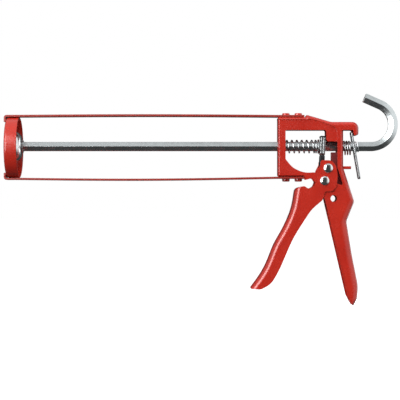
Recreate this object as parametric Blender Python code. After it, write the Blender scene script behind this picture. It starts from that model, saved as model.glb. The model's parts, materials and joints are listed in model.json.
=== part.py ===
"""Skeleton caulking gun for a 310 ml cartridge, with its rod, drive and release mechanism.

Lengths here are millimetres in the gun's own frame: X runs back along the push rod from the
front face of the housing, Z is up from the rod's axis, and Y is across. GRIP is the point of
that frame that becomes the origin of the model, in the middle of the fixed handle.
"""

import math

import bmesh
import bpy
from mathutils import Matrix, Vector

MM = 0.001
GAP = 0.3
NEARLY_STRAIGHT = math.radians(2.0)
GRIP = Vector((58.0, 0.0, -90.0))

# Cartridge cradle
RING_RADIUS = 26.6
RING_HEIGHT = -0.9
RING_WALL = 1.3
RING_FRONT = -237.7
RING_REAR = -226.6
NOZZLE_RADIUS = 16.0
STRAP_WIDTH = 15.0
STRAP_THICKNESS = 1.8
STRAP_FRONT = -239.8
STRAP_REAR = 23.4
STRAP_BOW = 0.6
STRAP_LIP = 4.4
STRAP_BEND = 2.4
STRAP_RIVETS = (7.6, 18.5)
STRAP_RIVET_RADIUS = 1.6
STRAP_HEAD_RADIUS = 3.3

# Pressed sheet housing and handle
SHEET = 1.5
HOUSING_HALF_WIDTH = 9.0
BRACKET_HALF_WIDTH = 9.9
HOUSING_TOP = 25.6
HOUSING_BOTTOM = -26.5
HOUSING_FOLD = 3.5
BRACKET_FOLD = 4.4
INNER_OFFSET = 0.03
WINDOW_STEP = 9.0
SPINE_X = 57.4
TRIGGER_HALF_WIDTH = 11.7
TRIGGER_SHEET = 1.4
TRIGGER_FOLD = 5.0

# Mechanism
ROD_FLATS = 8.0
ROD_FRONT = -234.6
HOOK_START = 82.5
HOOK_RADIUS = 19.25
HOOK_TURN = 156.0
HOOK_TAIL = 15.0
PUSH_PLATE_RADIUS = 22.0
PUSH_SHEET = 1.3
DOME_RADIUS = 13.6
DOME_REAR = -224.6
DOME_DEPTH = 9.6
NUT_HEIGHT = 4.0
NUT_RADIUS = 6.8
PIVOT = Vector((40.7, 0.0, -30.2))
DRIVE_PIN = Vector((43.8, 0.0, -19.2))
PIN_RADIUS = 2.2
SPACER_RADIUS = 3.6
ROLLER_RADIUS = 2.8
PIN_HEAD_RADIUS = 4.1
PIN_HEAD_HEIGHT = 2.3
DRIVE_CENTRE = Vector((39.7, 0.0, 0.0))
DRIVE_TILT = 2.4
PAWL_TOP = -8.0
PAWL_BOTTOM = -22.0
PAWL_THICKNESS = 3.2
DRIVE_PLATE_THICKNESS = 1.9
WASHER_THICKNESS = 1.1
WASHER_RADIUS = 6.3
RELEASE_PIVOT = Vector((64.9, 0.0, 12.8))
RELEASE_TILT = 9.8
RELEASE_THICKNESS = 1.5
RELEASE_LENGTH = 42.0
PLATE_HALF_WIDTH = 7.0
SPRING_RADIUS = 5.45
SPRING_WIRE = 0.6
SPRING_START = 2.0
SPRING_END = 35.3
RELEASE_SPRING_END = 65.0

# Corners of the housing's outline, clockwise from the top front: x, z, corner radius, and
# whether the edge that leaves the corner is folded over to the other side plate.
HOUSING_CORNERS = (
    (0.0, HOUSING_TOP, 1.6, True),
    (24.3, HOUSING_TOP, 0.3, True),
    (25.4, 27.6, 0.8, True),
    (46.8, 21.4, 9.0, True),
    (70.8, 21.4, 6.0, True),
    (70.8, 9.6, 3.6, False),
    (66.5, 9.6, 0.6, False),
    (65.8, 14.3, 1.2, False),
    (SPINE_X, 14.3, 1.2, True),
    (SPINE_X, -18.5, 9.0, True),
    (67.1, -48.4, 5.0, True),
    (60.2, -65.6, 8.0, True),
    (64.8, -94.0, 40.0, True),
    (70.4, -122.0, 30.0, True),
    (69.7, -133.0, 8.0, True),
    (65.8, -140.6, 1.2, False),
    (60.9, -131.0, 2.0, False),
    (41.1, -46.3, 3.0, False),
    (33.0, -32.0, 3.0, False),
    (30.5, -27.8, 2.0, False),
    (24.6, -29.4, 0.6, False),
    (23.6, HOUSING_BOTTOM, 0.5, True),
    (0.0, HOUSING_BOTTOM, 1.6, True),
)
WINDOW_CORNERS = (
    (6.8, 14.3, 1.2),
    (42.4, 14.3, 1.2),
    (42.4, 4.3, 2.5),
    (52.1, 4.3, 1.2),
    (52.1, -18.4, 8.0),
    (57.3, -34.6, 1.2),
    (49.0, -31.6, 3.0),
    (47.0, -24.8, 4.0),
    (35.0, -24.8, 2.0),
    (32.5, -22.8, 3.0),
    (23.0, -23.2, 26.0),
    (13.0, -18.9, 18.0),
    (6.8, -11.2, 2.5),
)
# Inside this line the side plates are the front box's alone. Outside it the handle's sheet lies
# over them, so they stand out a little more.
STEP_CORNERS = (
    (-6.0, 23.3, 0.5),
    (33.0, 23.3, 24.0),
    (51.6, 16.0, 6.0),
    (51.6, -26.0, 8.0),
    (44.0, -38.5, 6.0),
    (-6.0, -38.5, 0.5),
)
RIB_CORNERS = (
    (47.0, -5.1, 0.6),
    (55.4, -5.1, 0.6),
    (55.4, -18.8, 6.0),
    (61.0, -36.0, 1.0),
    (59.5, -41.0, 2.0),
    (52.0, -41.0, 4.0),
    (47.0, -30.0, 8.0),
)
RIB_HALF_WIDTH = 1.5
HANDLE_HOLE = (48.9, -45.7, 2.9)
STOP_TAB = ((56.3, -5.0, -19.4), (64.6, 5.0, -17.6))

TRIGGER_CORNERS = (
    (37.2, -12.3, 2.5, False),
    (46.5, -12.3, 5.0, False),
    (50.6, -17.0, 9.0, False),
    (52.2, -26.0, 12.0, False),
    (51.0, -35.5, 6.0, False),
    (47.8, -39.4, 1.5, False),
    (41.2, -39.6, 1.0, False),
    (38.7, -47.3, 1.6, False),
    (29.0, -55.5, 30.0, False),
    (13.3, -80.0, 90.0, False),
    (0.8, -109.0, 60.0, False),
    (-6.0, -120.5, 20.0, False),
    (-15.0, -125.2, 12.0, False),
    (-24.2, -124.6, 0.6, True),
    (-12.2, -108.2, 90.0, True),
    (-3.3, -85.6, 50.0, True),
    (4.4, -72.3, 60.0, True),
    (12.3, -55.5, 70.0, True),
    (15.2, -36.6, 4.0, False),
    (23.0, -34.8, 1.6, False),
    (27.0, -37.4, 3.0, False),
    (31.4, -35.2, 4.0, False),
    (33.8, -28.5, 9.0, False),
    (34.2, -21.6, 5.0, False),
    (37.0, -16.4, 4.0, False),
)

RED = (0.56, 0.030, 0.018)
STEEL = (0.52, 0.55, 0.56)
CHROME = (0.72, 0.74, 0.75)
DARK_RED = (0.16, 0.012, 0.010)
BLACKENED = (0.03, 0.03, 0.035)


def clear_scene():
    for obj in list(bpy.data.objects):
        bpy.data.objects.remove(obj)


def make_material(name, colour, metallic, roughness):
    material = bpy.data.materials.new(name)
    material.use_nodes = True
    shader = material.node_tree.nodes["Principled BSDF"]
    shader.inputs["Base Color"].default_value = (*colour, 1.0)
    shader.inputs["Metallic"].default_value = metallic
    shader.inputs["Roughness"].default_value = roughness
    material.diffuse_color = (*colour, 1.0)
    return material


def make_axis(name, position, parent=None):
    """An empty on a joint's axis, given in the gun's frame, that the moving pieces hang from."""
    empty = bpy.data.objects.new(name, None)
    bpy.context.scene.collection.objects.link(empty)
    empty.parent = parent
    empty.location = (Vector(position) - (GRIP if parent is None else Vector())) * MM
    return empty


def add_piece(name, bm, finish, parent, origin=(0.0, 0.0, 0.0)):
    """Turns a bmesh in the gun's millimetres into an object that hangs from an empty at origin."""
    bmesh.ops.translate(bm, verts=bm.verts, vec=-Vector(origin))
    bmesh.ops.scale(bm, verts=bm.verts, vec=(MM, MM, MM))
    bmesh.ops.recalc_face_normals(bm, faces=bm.faces)
    mesh = bpy.data.meshes.new(name)
    bm.to_mesh(mesh)
    bm.free()
    mesh.shade_smooth()
    mesh.set_sharp_from_angle(angle=math.radians(35))
    obj = bpy.data.objects.new(name, mesh)
    bpy.context.scene.collection.objects.link(obj)
    obj.parent = parent
    if finish:
        mesh.materials.append(make_material(name + "_finish", *finish))
    return obj


def apply_boolean(obj, bm, operation="DIFFERENCE"):
    """Cuts or joins a helper shape, kept as a hidden object beside the piece it works on."""
    helper = add_piece(f"{obj.name}_tool_{len(obj.modifiers)}", bm, None, obj.parent)
    helper.hide_render = True
    helper.display_type = "WIRE"
    modifier = obj.modifiers.new(helper.name, "BOOLEAN")
    modifier.operation = operation
    modifier.solver = "EXACT"
    modifier.object = helper
    return helper


def line_crossing(point_a, along_a, point_b, along_b):
    """Where two lines in the XZ plane cross, or point_b if they are parallel."""
    cross = along_a.x * along_b.y - along_a.y * along_b.x
    if abs(cross) < 1e-6:
        return point_b
    gap = point_b - point_a
    return point_a + along_a * ((gap.x * along_b.y - gap.y * along_b.x) / cross)


def inset_corners(corners, insets):
    """The corners with each edge moved inwards by its inset. The outline runs clockwise."""
    points = [Vector(corner[:2]) for corner in corners]
    ways = [(points[(i + 1) % len(points)] - p).normalized() for i, p in enumerate(points)]
    moved = [p + Vector((w.y, -w.x)) * d for p, w, d in zip(points, ways, insets)]
    return [line_crossing(moved[i - 1], ways[i - 1], moved[i], ways[i]) for i in range(len(moved))]


def corner_turns(points):
    """How far the outline turns at each corner, in radians, positive to the left."""
    count = len(points)
    return [-(p - points[i - 1]).angle_signed(points[(i + 1) % count] - p) for i, p in enumerate(points)]


def rounded_outline(corners, insets=None, step_deg=22.0):
    """The outline's points in the XZ plane, with each corner turned into an arc."""
    count = len(corners)
    insets = insets or [0.0] * count
    turns = corner_turns([Vector(corner[:2]) for corner in corners])
    points = inset_corners(corners, insets)
    outline = []
    for i, (point, turn) in enumerate(zip(points, turns)):
        into = point - points[i - 1]
        away = points[(i + 1) % count] - point
        bulge = (insets[i] + insets[i - 1]) / 2.0 * (1.0 if turn > 0 else -1.0)
        radius = max(corners[i][2] + bulge, 0.15)
        if abs(turn) < NEARLY_STRAIGHT:
            outline.append(point)
            continue
        reach = min(radius * math.tan(abs(turn) / 2), 0.48 * into.length, 0.48 * away.length)
        steps = max(1, round(abs(math.degrees(turn)) / step_deg))
        start = point - into.normalized() * reach
        radius = reach / math.tan(abs(turn) / 2)
        side = Vector((-into.y, into.x)).normalized() * math.copysign(radius, turn)
        centre = start + side
        for k in range(steps + 1):
            outline.append(centre + Matrix.Rotation(turn * k / steps, 2) @ -side)
    return outline


def loft(sections):
    """A closed body through matching loops of 3D points, with flat ends."""
    bm = bmesh.new()
    rings = [[bm.verts.new(point) for point in section] for section in sections]
    for low, high in zip(rings, rings[1:]):
        for i in range(len(low)):
            bm.faces.new((low[i - 1], low[i], high[i], high[i - 1]))
    bm.faces.new(rings[0])
    bm.faces.new(rings[-1])
    return bm


def extrude_outline(outline, low, high):
    return loft([[(p.x, y, p.y) for p in outline] for y in (low, high)])


def pressed_solid(corners, half_width, fold, edge, open_edge):
    """A pressing's outside or inside: both side plates' outline, rounded over at the folds.

    edge is how far in the folded edges start, and open_edge the same for the plain ones.
    """
    depths = [fold * share for share in (0.0, 0.5, 0.87, 1.0)]
    levels = [half_width - fold + depth for depth in depths]
    sections = []
    for y, depth in zip([-v for v in reversed(levels)] + levels, depths[::-1] + depths):
        curl = fold - math.sqrt(max(fold**2 - depth**2, 0.0))
        insets = [edge + curl if corner[3] else open_edge for corner in corners]
        sections.append([(p.x, y, p.y) for p in rounded_outline(corners, insets)])
    return loft(sections)


def pressed_sheet(name, corners, half_width, fold, sheet, parent, origin=(0.0, 0.0, 0.0)):
    """A folded sheet channel, made from its solid shape by taking out the inside."""
    outside = pressed_solid(corners, half_width, fold, 0.0, 0.0)
    obj = add_piece(name, outside, (RED, 0.0, 0.3), parent, origin)
    inside = pressed_solid(corners, half_width - sheet, fold - sheet, sheet, -0.4)
    bmesh.ops.translate(inside, verts=inside.verts, vec=-Vector(origin))
    apply_boolean(obj, inside)
    return obj


def box(low, high):
    bm = bmesh.new()
    bmesh.ops.create_cube(bm, size=1.0)
    low, high = Vector(low), Vector(high)
    bmesh.ops.scale(bm, verts=bm.verts, vec=high - low)
    bmesh.ops.translate(bm, verts=bm.verts, vec=(low + high) / 2)
    return bm


def turned(profile, steps, axis="X", centre=(0.0, 0.0, 0.0)):
    """A body of revolution. profile holds (place along the axis, radius) and may start and end at 0."""
    bm = bmesh.new()
    rings = []
    for along, radius in profile:
        if radius == 0.0:
            rings.append([bm.verts.new((along, 0.0, 0.0))] * steps)
            continue
        angles = [2 * math.pi * k / steps for k in range(steps)]
        rings.append([bm.verts.new((along, radius * math.cos(a), radius * math.sin(a))) for a in angles])
    hollow = profile[0][1] > 0.0
    for low, high in zip(rings, rings[1:] + rings[:1] if hollow else rings[1:]):
        for i in range(steps):
            corners = dict.fromkeys((low[i - 1], low[i], high[i], high[i - 1]))
            bm.faces.new(tuple(corners))
    if axis == "Y":
        bmesh.ops.rotate(bm, verts=bm.verts, matrix=Matrix.Rotation(math.pi / 2, 3, "Z"))
    if axis == "Z":
        bmesh.ops.rotate(bm, verts=bm.verts, matrix=Matrix.Rotation(-math.pi / 2, 3, "Y"))
    bmesh.ops.translate(bm, verts=bm.verts, vec=centre)
    return bm


def rod_through(centre, radius, axis, steps, half_length):
    """A plain cylinder, for holes. Six steps along X make a hexagon with flats above and below."""
    profile = ((-half_length, 0.0), (-half_length, radius), (half_length, radius), (half_length, 0.0))
    return turned(profile, steps, axis, centre)


def domed(height, radius, steps=4):
    """Profile of a domed head from its rim to its crown, as (height, radius)."""
    angles = [math.pi / 2 * k / steps for k in range(steps + 1)]
    return [(height * math.sin(a), radius * math.cos(a) if k < steps else 0.0) for k, a in enumerate(angles)]


def make_ring(gun):
    """Front cup: a short tube with a rounded front corner and a flange around the nozzle's hole."""
    inner = RING_RADIUS - RING_WALL
    flange = RING_FRONT + RING_WALL
    centre = (0.0, 0.0, RING_HEIGHT)
    profile = (
        (RING_REAR, inner),
        (flange + 1.0, inner),
        (flange, inner - 1.0),
        (flange, NOZZLE_RADIUS),
        (RING_FRONT, NOZZLE_RADIUS),
        (RING_FRONT, RING_RADIUS - 2.0),
        (RING_FRONT + 0.6, RING_RADIUS - 0.6),
        (RING_FRONT + 2.0, RING_RADIUS),
        (RING_REAR - 0.4, RING_RADIUS),
        (RING_REAR, RING_RADIUS - 0.4),
    )
    add_piece("front_ring", turned(profile, 56, "X", centre), (RED, 0.0, 0.3), gun)


def strap_height(x, side):
    """How far out the strap's inner face is: it bows a little between the ring and the housing."""
    along = min(max((x - RING_REAR) / (0.0 - RING_REAR), 0.0), 1.0)
    at_ring = RING_RADIUS + RING_HEIGHT * side
    at_housing = HOUSING_TOP if side > 0 else -HOUSING_BOTTOM
    bow = STRAP_BOW * math.sin(math.pi * along)
    return at_ring + (at_housing - at_ring) * along + bow + GAP


def make_strap(name, gun, side):
    """Flat bar over the ring and the housing, bent down in front of the ring."""
    stations = [RING_REAR * (1 - k / 12) for k in range(13)] + [STRAP_REAR]
    inner = [(x, strap_height(x, side), 0.0) for x in stations]
    outer = [(x, z + STRAP_THICKNESS, 0.0) for x, z, _ in reversed(inner)]
    bend = STRAP_FRONT + STRAP_THICKNESS
    low = inner[0][1]
    lip = low - STRAP_LIP
    corners = inner + outer + [
        (STRAP_FRONT, low + STRAP_THICKNESS, STRAP_BEND),
        (STRAP_FRONT, lip, 0.3),
        (bend, lip, 0.3),
        (bend, low, STRAP_BEND - STRAP_THICKNESS),
    ]
    outline = [Vector((p.x, p.y * side)) for p in rounded_outline(corners)]
    bm = extrude_outline(outline, -STRAP_WIDTH / 2, STRAP_WIDTH / 2)
    strap = add_piece(name, bm, (RED, 0.0, 0.3), gun)
    for x in STRAP_RIVETS:
        apply_boolean(strap, rod_through((x, 0, side * 28), STRAP_RIVET_RADIUS + GAP, "Z", 16, 4.0))


def make_strap_rivet(name, gun, x, side):
    """Round head over the strap, a shank through strap and housing, and an upset tail inside."""
    face = HOUSING_TOP if side > 0 else -HOUSING_BOTTOM
    head = face + GAP + STRAP_THICKNESS + GAP
    tail = face - SHEET - GAP
    dome = [(head + 0.8 + h, r) for h, r in domed(1.0, STRAP_HEAD_RADIUS, 3)]
    profile = [
        (tail - 1.2, 0.0),
        (tail - 1.2, 1.9),
        (tail - 0.7, 2.5),
        (tail, 2.5),
        (tail, STRAP_RIVET_RADIUS),
        (head, STRAP_RIVET_RADIUS),
        (head, STRAP_HEAD_RADIUS),
    ] + dome
    bm = turned([(a * side, r) for a, r in profile], 20, "Z", (x, 0.0, 0.0))
    add_piece(name, bm, (RED, 0.0, 0.3), gun)


def make_housing(gun):
    """Housing and fixed handle: a narrow front box, the wider handle sheet over it, and a stop tab."""
    narrow = pressed_solid(HOUSING_CORNERS, HOUSING_HALF_WIDTH, HOUSING_FOLD, INNER_OFFSET, INNER_OFFSET)
    housing = add_piece("housing", narrow, (RED, 0.0, 0.3), gun)
    wide = pressed_solid(HOUSING_CORNERS, BRACKET_HALF_WIDTH, BRACKET_FOLD, 0.0, 0.0)
    bracket = apply_boolean(housing, wide, "UNION")
    through = HOUSING_HALF_WIDTH + 3.0
    apply_boolean(bracket, extrude_outline(rounded_outline(STEP_CORNERS), -through, through))
    inner_width, inner_fold = HOUSING_HALF_WIDTH - SHEET, HOUSING_FOLD - SHEET
    apply_boolean(housing, pressed_solid(HOUSING_CORNERS, inner_width, inner_fold, SHEET, -0.4))
    window = rounded_outline(WINDOW_CORNERS, None, WINDOW_STEP)
    apply_boolean(housing, extrude_outline(window, -through, through))
    apply_boolean(housing, rod_through((30, 0, 0), ROD_FLATS / math.sqrt(3) + 0.4, "X", 6, 40.0))
    apply_boolean(housing, rod_through(PIVOT, PIN_RADIUS + GAP, "Y", 20, through))
    x, z, radius = HANDLE_HOLE
    apply_boolean(housing, rod_through((x, 0, z), radius, "Y", 24, through))
    for x in STRAP_RIVETS:
        apply_boolean(housing, rod_through((x, 0, 0), STRAP_RIVET_RADIUS + GAP, "Z", 16, 32.0))
    apply_boolean(housing, box(*STOP_TAB), "UNION")


def make_spine_rib(gun):
    """Rib inside the spine, on the mid-plane. It carries the rod and stops the drive rivet's roller."""
    rib = extrude_outline(rounded_outline(RIB_CORNERS), -RIB_HALF_WIDTH, RIB_HALF_WIDTH)
    add_piece("spine_rib", rib, (DARK_RED, 0.0, 0.5), gun)


def make_pivot(gun):
    """The trigger's fixed pivot: a rivet through both side plates, with a spacer tube on it."""
    reach = TRIGGER_HALF_WIDTH + GAP
    add_piece("trigger_pivot_rivet", double_rivet(PIVOT, reach), (CHROME, 1.0, 0.15), gun)
    inside = HOUSING_HALF_WIDTH - SHEET - GAP
    spacer = sleeve(inside, SPACER_RADIUS)
    add_piece("pivot_spacer", turned(spacer, 20, "Y", PIVOT), (STEEL, 1.0, 0.4), gun)


def sleeve(half_length, radius):
    """Profile of a tube that runs loose on one of the rivets."""
    bore = PIN_RADIUS + GAP
    return ((-half_length, bore), (half_length, bore), (half_length, radius), (-half_length, radius))


def double_rivet(centre, reach):
    """A shank along Y with a domed head just outside each end of its reach."""
    dome = [(reach + 0.4 + h, r) for h, r in domed(PIN_HEAD_HEIGHT - 0.4, PIN_HEAD_RADIUS)]
    half = [(reach, PIN_RADIUS), (reach, PIN_HEAD_RADIUS)] + dome
    profile = [(-a, r) for a, r in reversed(half)] + half
    return turned(profile, 20, "Y", centre)


def make_trigger(axis):
    """Finger lever: a channel with its fold in front and its head outside the side plates."""
    trigger = pressed_sheet(
        "trigger", TRIGGER_CORNERS, TRIGGER_HALF_WIDTH, TRIGGER_FOLD, TRIGGER_SHEET, axis, PIVOT
    )
    through = TRIGGER_HALF_WIDTH + 3.0
    for centre in (PIVOT, DRIVE_PIN):
        apply_boolean(trigger, rod_through(centre - PIVOT, PIN_RADIUS + GAP, "Y", 20, through))
    reach = TRIGGER_HALF_WIDTH + GAP
    add_piece("drive_rivet", double_rivet(DRIVE_PIN, reach), (CHROME, 1.0, 0.15), axis, PIVOT)
    inside = TRIGGER_HALF_WIDTH - TRIGGER_SHEET - GAP
    roller = sleeve(inside, ROLLER_RADIUS)
    add_piece("drive_roller", turned(roller, 20, "Y", DRIVE_PIN), (STEEL, 1.0, 0.4), axis, PIVOT)


def steel_plate(centre, tilt_deg, thickness, top, bottom, taper=0.0):
    """Flat plate across the rod, tilted about Y, with rounded corners.

    taper is how much narrower the plate's lower end is on each side.
    """
    half = PLATE_HALF_WIDTH
    corners = (
        (-half, top, 2.0),
        (half, top, 2.0),
        (half - taper, bottom, 2.0),
        (-half + taper, bottom, 2.0),
    )
    outline = rounded_outline(corners)
    bm = loft([[(x, p.x, p.y) for p in outline] for x in (-thickness / 2, thickness / 2)])
    tilt = Matrix.Rotation(math.radians(tilt_deg), 3, "Y")
    bmesh.ops.rotate(bm, verts=bm.verts, matrix=tilt)
    bmesh.ops.translate(bm, verts=bm.verts, vec=centre)
    return bm


def tilted_hole(centre, tilt_deg, radius, half_length):
    bm = rod_through((0, 0, 0), radius, "X", 6, half_length)
    bmesh.ops.rotate(bm, verts=bm.verts, matrix=Matrix.Rotation(math.radians(tilt_deg), 3, "Y"))
    bmesh.ops.translate(bm, verts=bm.verts, vec=centre)
    return bm


def make_drive(axis):
    """Two grip plates on the rod, the pawl below them that the roller pushes, and a washer."""
    spacing = DRIVE_PLATE_THICKNESS + GAP
    for name, offset in (("front_drive_plate", -spacing / 2), ("rear_drive_plate", spacing / 2)):
        centre = DRIVE_CENTRE + Vector((offset, 0, 0))
        bm = steel_plate(centre, DRIVE_TILT, DRIVE_PLATE_THICKNESS, 8.9, PAWL_TOP + GAP)
        plate = add_piece(name, bm, (CHROME, 1.0, 0.25), axis, DRIVE_CENTRE)
        hole = tilted_hole((offset, 0, 0), DRIVE_TILT, (ROD_FLATS + 0.75) / math.sqrt(3), 1.4)
        apply_boolean(plate, hole)
    lean = Matrix.Rotation(math.radians(DRIVE_TILT), 3, "Y")
    middle = DRIVE_CENTRE + lean @ Vector((0, 0, (PAWL_TOP + PAWL_BOTTOM) / 2))
    reach = (PAWL_TOP - PAWL_BOTTOM) / 2
    pawl = steel_plate(middle, DRIVE_TILT, PAWL_THICKNESS, reach, -reach, 1.5)
    add_piece("drive_pawl", pawl, (BLACKENED, 1.0, 0.5), axis, DRIVE_CENTRE)
    hole = ROD_FLATS / math.sqrt(3) + GAP
    near, far = SPRING_END + GAP, SPRING_END + GAP + WASHER_THICKNESS
    washer = ((near, hole), (far, hole), (far, WASHER_RADIUS), (near, WASHER_RADIUS))
    add_piece("spring_washer", turned(washer, 28), (STEEL, 1.0, 0.3), axis, DRIVE_CENTRE)


def make_release(axis):
    """Thumb plate that grips the rod by its tilt. It turns about its top edge, inside the nose."""
    lean = math.radians(-RELEASE_TILT)
    middle = Vector((RELEASE_PIVOT.x + RELEASE_PIVOT.z * math.tan(-lean), 0.0, 0.0))
    top = RELEASE_PIVOT.z / math.cos(lean)
    bm = steel_plate(middle, -RELEASE_TILT, RELEASE_THICKNESS, top, top - RELEASE_LENGTH, 0.8)
    plate = add_piece("release_plate", bm, (STEEL, 1.0, 0.3), axis, RELEASE_PIVOT)
    hole = tilted_hole(middle - RELEASE_PIVOT, -RELEASE_TILT, (ROD_FLATS + 1.1) / math.sqrt(3), 3.0)
    apply_boolean(plate, hole)


def coil(start, end, radius, wire, turns, dead_turns):
    """A compression spring along X: an even helix with a closed turn at each end."""
    per_turn = 14
    sides = 6
    steps = round((turns + 2 * dead_turns) * per_turn)
    closed = 2 * wire * 1.06
    sections = []
    for k in range(steps + 1):
        turn = k / per_turn
        live = min(max(turn - dead_turns, 0.0), turns)
        after = max(turn - dead_turns - turns, 0.0)
        first = min(turn, dead_turns) * closed
        middle = (end - start - 2 * wire - 2 * dead_turns * closed) * live / turns
        x = start + wire + first + middle + after * closed
        angle = 2 * math.pi * turn
        out = Vector((0.0, math.cos(angle), math.sin(angle)))
        section = []
        for s in range(sides):
            a = 2 * math.pi * s / sides
            section.append(Vector((x + wire * math.cos(a), 0, 0)) + out * (radius + wire * math.sin(a)))
        sections.append(section)
    return loft(sections)


def rod_section(centre, heading):
    """Six corners across the rod at one place: corners to the sides, flats above and below."""
    corner = ROD_FLATS / math.sqrt(3)
    up = Vector((-math.sin(heading), 0.0, math.cos(heading)))
    points = []
    for k in range(6):
        angle = math.pi / 3 * k
        points.append(centre + Vector((0, 1, 0)) * corner * math.cos(angle) + up * corner * math.sin(angle))
    return points


def make_rod(axis):
    """Hexagonal push rod, with its rear end bent up into the hook."""
    sections = [rod_section(Vector((ROD_FRONT, 0, 0)), 0.0)]
    steps = 20
    for k in range(steps + 1):
        heading = math.radians(HOOK_TURN) * k / steps
        place = Vector((math.sin(heading), 0, 1 - math.cos(heading))) * HOOK_RADIUS
        sections.append(rod_section(Vector((HOOK_START, 0, 0)) + place, heading))
    heading = math.radians(HOOK_TURN)
    tail = Vector((math.cos(heading), 0, math.sin(heading))) * HOOK_TAIL
    sections.append(rod_section(Vector((HOOK_START, 0, 0)) + place + tail, heading))
    add_piece("push_rod", loft(sections), (STEEL, 1.0, 0.3), axis)


def make_push_plate(axis):
    """Disc on the rod's front end, domed towards the rear, with its collar and its nut."""
    hole = ROD_FLATS / math.sqrt(3) + GAP
    back = [(DOME_REAR, hole)]
    front = [(DOME_REAR - PUSH_SHEET, hole)]
    for k in range(1, 7):
        angle = math.pi / 2 * k / 6
        away, drop = math.sin(angle), 1.0 - math.cos(angle)
        reach = hole + 1.5 + (DOME_RADIUS - hole - 1.5) * away
        back.append((DOME_REAR - (DOME_DEPTH - PUSH_SHEET) * drop, reach))
        front.append((DOME_REAR - PUSH_SHEET - (DOME_DEPTH - PUSH_SHEET) * drop, reach - PUSH_SHEET))
    face = DOME_REAR - DOME_DEPTH
    rim = [
        (face + PUSH_SHEET, DOME_RADIUS + 1.2),
        (face + PUSH_SHEET, PUSH_PLATE_RADIUS - 0.4),
        (face + PUSH_SHEET - 0.4, PUSH_PLATE_RADIUS),
        (face, PUSH_PLATE_RADIUS),
        (face, DOME_RADIUS),
    ]
    add_piece("push_plate", turned(back[:-1] + rim + front[-2::-1], 40), (STEEL, 1.0, 0.25), axis)
    rear, seat = DOME_REAR + 1.6, DOME_REAR + GAP
    collar = ((seat, hole), (rear, hole), (rear, 5.4), (rear - 0.5, 5.9), (seat, 5.9))
    add_piece("rod_collar", turned(collar, 24), (STEEL, 1.0, 0.35), axis)
    seat = DOME_REAR - PUSH_SHEET - 2 * GAP
    front = seat - NUT_HEIGHT
    nut = ((front, hole), (seat, hole), (seat, NUT_RADIUS), (front + 0.6, NUT_RADIUS), (front, NUT_RADIUS - 0.8))
    add_piece("rod_nut", turned(nut, 6), (STEEL, 1.0, 0.35), axis)


def main():
    clear_scene()
    gun = make_axis("gun_frame", (0, 0, 0))
    make_ring(gun)
    for word, side in (("upper", 1), ("lower", -1)):
        make_strap(word + "_strap", gun, side)
        for end, x in zip(("front", "rear"), STRAP_RIVETS):
            make_strap_rivet(f"{word}_{end}_rivet", gun, x, side)
    make_housing(gun)
    make_spine_rib(gun)
    make_pivot(gun)
    make_trigger(make_axis("trigger_axis", PIVOT, gun))
    make_drive(make_axis("drive_axis", DRIVE_CENTRE, gun))
    make_release(make_axis("release_axis", RELEASE_PIVOT, gun))
    main_spring = coil(SPRING_START, SPRING_END, SPRING_RADIUS, SPRING_WIRE, 6.6, 1.3)
    add_piece("main_spring", main_spring, (STEEL, 1.0, 0.3), gun)
    release_spring = coil(SPINE_X + GAP, RELEASE_SPRING_END, SPRING_RADIUS, SPRING_WIRE, 2.2, 0.8)
    add_piece("release_spring", release_spring, (STEEL, 1.0, 0.3), gun)
    rod_axis = make_axis("rod_axis", (0, 0, 0), gun)
    make_rod(rod_axis)
    make_push_plate(rod_axis)


main()
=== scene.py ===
"""Looks of the skeleton caulking gun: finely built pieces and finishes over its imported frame.

Shapes are given in millimetres in the gun's own frame: X runs back along the push rod from the
housing's front face, Z is up from the rod's axis, and Y is across.
"""

import json
import math

import bmesh
import bpy
from mathutils import Matrix, Vector

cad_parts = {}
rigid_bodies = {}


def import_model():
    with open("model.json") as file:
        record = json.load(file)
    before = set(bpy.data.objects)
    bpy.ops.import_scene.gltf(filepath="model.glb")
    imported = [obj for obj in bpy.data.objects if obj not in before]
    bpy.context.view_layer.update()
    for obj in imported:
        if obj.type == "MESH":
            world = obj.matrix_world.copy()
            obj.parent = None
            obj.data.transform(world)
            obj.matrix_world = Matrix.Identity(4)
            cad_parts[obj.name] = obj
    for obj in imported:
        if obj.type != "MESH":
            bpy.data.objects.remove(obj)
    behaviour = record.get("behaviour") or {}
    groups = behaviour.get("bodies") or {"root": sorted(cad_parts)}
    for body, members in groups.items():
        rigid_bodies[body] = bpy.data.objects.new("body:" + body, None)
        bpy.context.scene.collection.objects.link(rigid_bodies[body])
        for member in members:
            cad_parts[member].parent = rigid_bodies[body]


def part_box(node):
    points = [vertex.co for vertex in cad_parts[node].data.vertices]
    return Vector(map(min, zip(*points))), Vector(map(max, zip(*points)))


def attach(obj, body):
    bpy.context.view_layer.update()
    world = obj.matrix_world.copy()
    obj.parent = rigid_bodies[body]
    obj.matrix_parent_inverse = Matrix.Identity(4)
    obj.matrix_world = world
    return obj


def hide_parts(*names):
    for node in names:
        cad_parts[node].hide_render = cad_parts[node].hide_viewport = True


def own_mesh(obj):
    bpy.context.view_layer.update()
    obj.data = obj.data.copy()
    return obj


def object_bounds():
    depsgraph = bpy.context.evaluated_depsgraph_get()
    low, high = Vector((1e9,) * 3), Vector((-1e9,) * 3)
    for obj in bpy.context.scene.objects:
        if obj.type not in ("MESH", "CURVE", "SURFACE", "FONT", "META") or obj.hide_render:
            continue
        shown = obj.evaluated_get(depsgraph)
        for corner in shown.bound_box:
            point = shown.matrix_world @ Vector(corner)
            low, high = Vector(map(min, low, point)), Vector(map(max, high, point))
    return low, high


for startup_object in list(bpy.data.objects):
    bpy.data.objects.remove(startup_object)
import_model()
CAD_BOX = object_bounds()

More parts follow.
